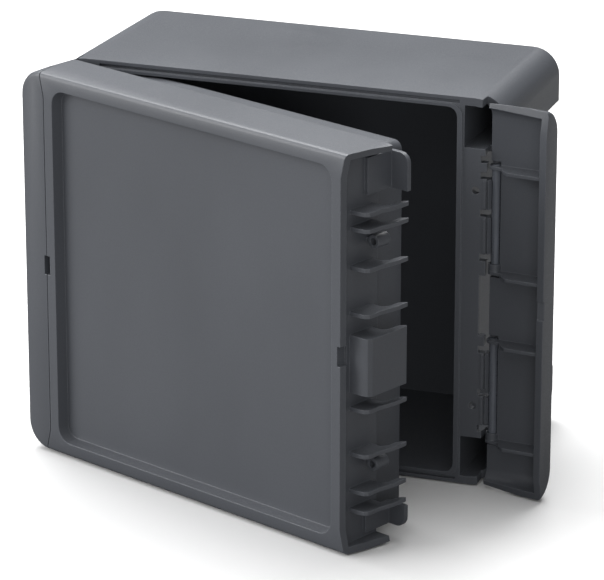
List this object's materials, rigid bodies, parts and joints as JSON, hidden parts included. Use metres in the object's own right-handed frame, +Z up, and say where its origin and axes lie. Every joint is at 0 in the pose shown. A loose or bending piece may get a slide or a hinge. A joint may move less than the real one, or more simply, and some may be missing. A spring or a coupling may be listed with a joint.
{
  "type": "fiber termination box",
  "caption": "Wall enclosure for fiber termination: deep base, framed lid and two snap strips that act as hinge or latch.",
  "frame": {"origin": "centre of the base's back face, on the wall", "axes": "+X to the right seen from the front, +Y into the wall, +Z up"},
  "size_m": [0.1745, 0.1373, 0.13],
  "materials": {
    "shell_plastic": "fine satin moulded plastic, graphite grey",
    "strip_plastic": "fine satin moulded plastic, graphite grey",
    "gasket_rubber": "soft matt black foam rubber",
    "pin_plastic": "smooth moulded rod"
  },
  "bodies": {
    "base": {"base_shell": "shell_plastic", "left_hinge_pin_upper": "pin_plastic", "left_hinge_pin_lower": "pin_plastic", "right_hinge_pin_upper": "pin_plastic", "right_hinge_pin_lower": "pin_plastic"},
    "lid": {"lid_shell": "shell_plastic", "lid_gasket": "gasket_rubber"},
    "left_strip": {"left_strip": "strip_plastic"},
    "right_strip": {"right_strip": "strip_plastic"}
  },
  "joints": [
    {"name": "lid_hinge", "type": "hinge", "parent": "base", "child": "lid", "pos_m": [-0.0728, -0.066, 0], "axis": [0, 0, -1], "range_deg": [-22.5, 67.5]},
    {"name": "left_strip_release", "type": "hinge", "parent": "lid", "child": "left_strip", "pos_m": [-0.0728, -0.066, 0], "axis": [0, 0, -1], "range_deg": [0, 25]},
    {"name": "right_strip_hinge", "type": "hinge", "parent": "base", "child": "right_strip", "pos_m": [0.0728, -0.066, 0], "axis": [0, 0, 1], "range_deg": [-85, 10]}
  ]
}
